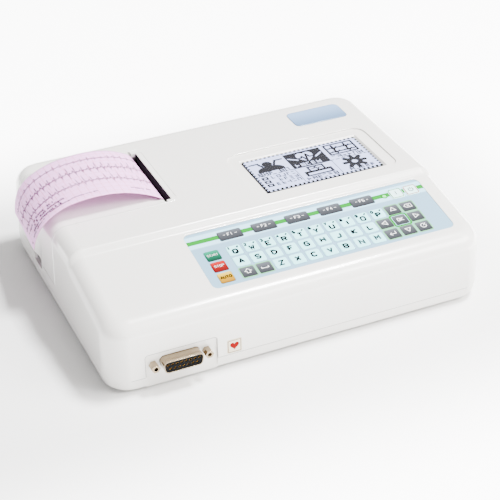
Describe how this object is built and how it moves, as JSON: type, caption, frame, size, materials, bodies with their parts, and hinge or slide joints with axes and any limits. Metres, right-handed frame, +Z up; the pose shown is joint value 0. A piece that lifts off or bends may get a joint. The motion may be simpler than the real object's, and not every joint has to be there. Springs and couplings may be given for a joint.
{
  "type": "electrocardiograph",
  "caption": "Low portable recorder case with a sloping foil keypad, a flush graphic display, a side printer lid with a paper strip and a patient connector on the front.",
  "frame": {"origin": "centre of the case's footprint, on the plane its feet stand on", "axes": "+X to the right as the user faces the keypad, +Y away from the user to the back, +Z up"},
  "size_m": [0.2569, 0.1966, 0.0713],
  "materials": {
    "case_plastic": "fine spark-eroded texture",
    "base_plastic": "fine spark-eroded texture",
    "foot_rubber": "matt",
    "steel": "zinc plated",
    "spring_steel": "bright",
    "battery_wrap": "shrink film",
    "platen_rubber": "ground",
    "gear_plastic": "moulded acetal",
    "brass": "turned",
    "aluminium": "extruded",
    "paper": "thermal recording paper",
    "core_plastic": "moulded",
    "keypad_foil": "matt foil",
    "circuit_board": "solder resist",
    "led_lens": "clear",
    "key_grey": "matt foil",
    "key_white": "matt foil",
    "key_letter": "matt foil",
    "key_green": "matt foil",
    "key_red": "matt foil",
    "key_yellow": "matt foil",
    "window": "clear acrylic",
    "display": "matt",
    "nickel": "nickel plated",
    "black_plastic": "moulded",
    "plate_silver": "domed",
    "plate_white": "smooth"
  },
  "bodies": {
    "base": {"bottom_shell": "base_plastic", "top_shell": "case_plastic", "rubber_feet": "foot_rubber", "case_screws": "steel", "battery_door": "base_plastic", "battery_pack": "battery_wrap", "lid_hinge_pins": "steel", "tear_bar": "case_plastic", "printer_frame": "steel", "platen_bushes": "brass", "stepper_motor": "steel", "print_head": "aluminium", "head_springs": "spring_steel", "paper_web": "paper", "keypad_faceplate": "keypad_foil", "keypad_board": "circuit_board", "key_domes": "spring_steel", "status_led": "led_lens", "lcd_window": "window", "lcd_module": "display", "main_board": "circuit_board", "connector_shell": "nickel", "connector_insert": "black_plastic", "connector_contacts": "brass", "jack_screws": "nickel", "power_inlet": "black_plastic", "name_plate": "plate_silver", "heart_plate": "plate_white"},
    "lid": {"printer_lid": "case_plastic", "paper_strip": "paper"},
    "platen": {"platen_roller": "platen_rubber", "platen_shaft": "steel", "platen_gear": "gear_plastic"},
    "idler": {"idler_gear": "gear_plastic"},
    "pinion": {"motor_pinion": "brass"},
    "roll": {"paper_roll": "paper", "roll_spindle": "core_plastic"},
    "function_button_1": {"key_function_1": "key_grey"},
    "function_button_2": {"key_function_2": "key_grey"},
    "function_button_3": {"key_function_3": "key_grey"},
    "function_button_4": {"key_function_4": "key_grey"},
    "function_button_5": {"key_function_5": "key_grey"},
    "power_on_button": {"key_power_on": "key_white"},
    "power_off_button": {"key_power_off": "key_white"},
    "start_button": {"key_start": "key_green"},
    "stop_button": {"key_stop": "key_red"},
    "auto_button": {"key_auto": "key_yellow"},
    "shift_button": {"key_shift": "key_grey"},
    "space_button": {"key_space": "key_grey"},
    "up_button": {"key_up": "key_grey"},
    "backspace_button": {"key_backspace": "key_grey"},
    "left_button": {"key_left": "key_grey"},
    "ok_button": {"key_ok": "key_grey"},
    "right_button": {"key_right": "key_grey"},
    "enter_button": {"key_enter": "key_grey"},
    "down_button": {"key_down": "key_grey"},
    "escape_button": {"key_escape": "key_grey"},
    "letter_keys_top": {"letter_keys_top": "key_letter"},
    "letter_keys_middle": {"letter_keys_middle": "key_letter"},
    "letter_keys_bottom": {"letter_keys_bottom": "key_letter"}
  },
  "joints": [
    {"name": "lid_hinge", "type": "hinge", "parent": "base", "child": "lid", "pos_m": [-0.0512, 0.0395, 0.0564], "axis": [0, 1, 0], "range_deg": [0, 80]},
    {"name": "platen_spin", "type": "hinge", "parent": "base", "child": "platen", "pos_m": [-0.0538, 0.0395, 0.044], "axis": [0, 1, 0], "continuous": true},
    {"name": "idler_spin", "type": "hinge", "parent": "base", "child": "idler", "pos_m": [-0.0393, 0.0395, 0.0349], "axis": [0, 1, 0], "continuous": true},
    {"name": "pinion_spin", "type": "hinge", "parent": "base", "child": "pinion", "pos_m": [-0.034, 0.0395, 0.024], "axis": [0, 1, 0], "continuous": true},
    {"name": "roll_spin", "type": "hinge", "parent": "base", "child": "roll", "pos_m": [-0.0992, 0.0395, 0.0331], "axis": [0, 1, 0], "continuous": true},
    {"name": "function_button_1_press", "type": "slide", "parent": "base", "child": "function_button_1", "axis": [0, 0.1506, -0.9886], "range_m": [0, 0.0003], "stiffness_N_per_m": 2500, "springref_m": -0.0001},
    {"name": "function_button_2_press", "type": "slide", "parent": "base", "child": "function_button_2", "axis": [0, 0.1506, -0.9886], "range_m": [0, 0.0003], "stiffness_N_per_m": 2500, "springref_m": -0.0001},
    {"name": "function_button_3_press", "type": "slide", "parent": "base", "child": "function_button_3", "axis": [0, 0.1506, -0.9886], "range_m": [0, 0.0003], "stiffness_N_per_m": 2500, "springref_m": -0.0001},
    {"name": "function_button_4_press", "type": "slide", "parent": "base", "child": "function_button_4", "axis": [0, 0.1506, -0.9886], "range_m": [0, 0.0003], "stiffness_N_per_m": 2500, "springref_m": -0.0001},
    {"name": "function_button_5_press", "type": "slide", "parent": "base", "child": "function_button_5", "axis": [0, 0.1506, -0.9886], "range_m": [0, 0.0003], "stiffness_N_per_m": 2500, "springref_m": -0.0001},
    {"name": "power_on_button_press", "type": "slide", "parent": "base", "child": "power_on_button", "axis": [0, 0.1506, -0.9886], "range_m": [0, 0.0003], "stiffness_N_per_m": 2500, "springref_m": -0.0001},
    {"name": "power_off_button_press", "type": "slide", "parent": "base", "child": "power_off_button", "axis": [0, 0.1506, -0.9886], "range_m": [0, 0.0003], "stiffness_N_per_m": 2500, "springref_m": -0.0001},
    {"name": "start_button_press", "type": "slide", "parent": "base", "child": "start_button", "axis": [0, 0.1506, -0.9886], "range_m": [0, 0.0003], "stiffness_N_per_m": 2500, "springref_m": -0.0001},
    {"name": "stop_button_press", "type": "slide", "parent": "base", "child": "stop_button", "axis": [0, 0.1506, -0.9886], "range_m": [0, 0.0003], "stiffness_N_per_m": 2500, "springref_m": -0.0001},
    {"name": "auto_button_press", "type": "slide", "parent": "base", "child": "auto_button", "axis": [0, 0.1506, -0.9886], "range_m": [0, 0.0003], "stiffness_N_per_m": 2500, "springref_m": -0.0001},
    {"name": "shift_button_press", "type": "slide", "parent": "base", "child": "shift_button", "axis": [0, 0.1506, -0.9886], "range_m": [0, 0.0003], "stiffness_N_per_m": 2500, "springref_m": -0.0001},
    {"name": "space_button_press", "type": "slide", "parent": "base", "child": "space_button", "axis": [0, 0.1506, -0.9886], "range_m": [0, 0.0003], "stiffness_N_per_m": 2500, "springref_m": -0.0001},
    {"name": "up_button_press", "type": "slide", "parent": "base", "child": "up_button", "axis": [0, 0.1506, -0.9886], "range_m": [0, 0.0003], "stiffness_N_per_m": 2500, "springref_m": -0.0001},
    {"name": "backspace_button_press", "type": "slide", "parent": "base", "child": "backspace_button", "axis": [0, 0.1506, -0.9886], "range_m": [0, 0.0003], "stiffness_N_per_m": 2500, "springref_m": -0.0001},
    {"name": "left_button_press", "type": "slide", "parent": "base", "child": "left_button", "axis": [0, 0.1506, -0.9886], "range_m": [0, 0.0003], "stiffness_N_per_m": 2500, "springref_m": -0.0001},
    {"name": "ok_button_press", "type": "slide", "parent": "base", "child": "ok_button", "axis": [0, 0.1506, -0.9886], "range_m": [0, 0.0003], "stiffness_N_per_m": 2500, "springref_m": -0.0001},
    {"name": "right_button_press", "type": "slide", "parent": "base", "child": "right_button", "axis": [0, 0.1506, -0.9886], "range_m": [0, 0.0003], "stiffness_N_per_m": 2500, "springref_m": -0.0001},
    {"name": "enter_button_press", "type": "slide", "parent": "base", "child": "enter_button", "axis": [0, 0.1506, -0.9886], "range_m": [0, 0.0003], "stiffness_N_per_m": 2500, "springref_m": -0.0001},
    {"name": "down_button_press", "type": "slide", "parent": "base", "child": "down_button", "axis": [0, 0.1506, -0.9886], "range_m": [0, 0.0003], "stiffness_N_per_m": 2500, "springref_m": -0.0001},
    {"name": "escape_button_press", "type": "slide", "parent": "base", "child": "escape_button", "axis": [0, 0.1506, -0.9886], "range_m": [0, 0.0003], "stiffness_N_per_m": 2500, "springref_m": -0.0001},
    {"name": "letter_keys_top_press", "type": "slide", "parent": "base", "child": "letter_keys_top", "axis": [0, 0.1506, -0.9886], "range_m": [0, 0.0003], "stiffness_N_per_m": 2500, "springref_m": -0.0001},
    {"name": "letter_keys_middle_press", "type": "slide", "parent": "base", "child": "letter_keys_middle", "axis": [0, 0.1506, -0.9886], "range_m": [0, 0.0003], "stiffness_N_per_m": 2500, "springref_m": -0.0001},
    {"name": "letter_keys_bottom_press", "type": "slide", "parent": "base", "child": "letter_keys_bottom", "axis": [0, 0.1506, -0.9886], "range_m": [0, 0.0003], "stiffness_N_per_m": 2500, "springref_m": -0.0001}
  ],
  "couplings": [
    {"joint": "platen_spin", "follows": "roll_spin", "ratio": 3.3636},
    {"joint": "idler_spin", "follows": "roll_spin", "ratio": -2.9899},
    {"joint": "pinion_spin", "follows": "roll_spin", "ratio": 8.9697}
  ]
}
